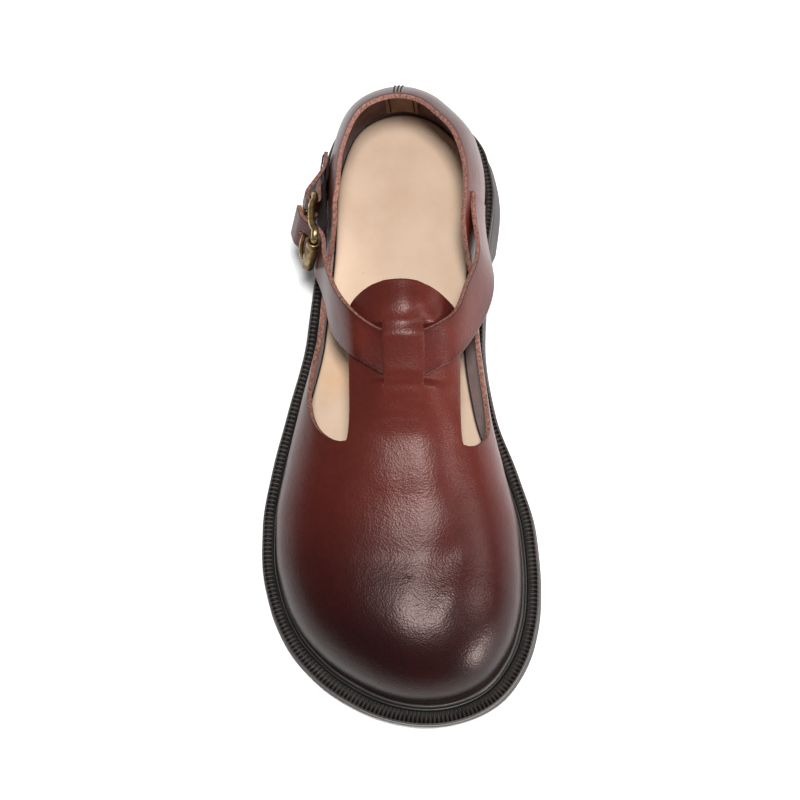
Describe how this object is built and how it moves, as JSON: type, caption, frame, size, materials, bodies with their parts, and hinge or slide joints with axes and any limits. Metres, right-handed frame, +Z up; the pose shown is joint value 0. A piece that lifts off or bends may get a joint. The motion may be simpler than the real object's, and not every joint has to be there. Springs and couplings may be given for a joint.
{
  "type": "mary jane shoe",
  "caption": "Right T-bar mary jane shoe, empty: hollow leather upper, ankle strap with roller buckle through a loop, ribbed rand, moulded sole with low heel and arch.",
  "frame": {"origin": "on the ground, under the middle of the heel block", "axes": "+Z up, toe towards -Y, big toe (inner) side towards +X, buckle on the -X side"},
  "size_m": [0.1123, 0.2583, 0.0832],
  "materials": {
    "leather": "burnished, semi-gloss",
    "rubber": "satin",
    "insole": "matt",
    "lining": "matt",
    "elastic": "woven",
    "brass": "antique, satin",
    "roller": "dull"
  },
  "bodies": {
    "root": {"outsole": "rubber", "rand": "rubber", "insole": "insole", "upper": "leather", "heel_strip": "lining", "buckle_frame": "brass", "buckle_roller": "roller", "buckle_prong": "brass", "buckle_tab": "leather", "elastic": "elastic", "ankle_strap": "leather"}
  },
  "joints": []
}
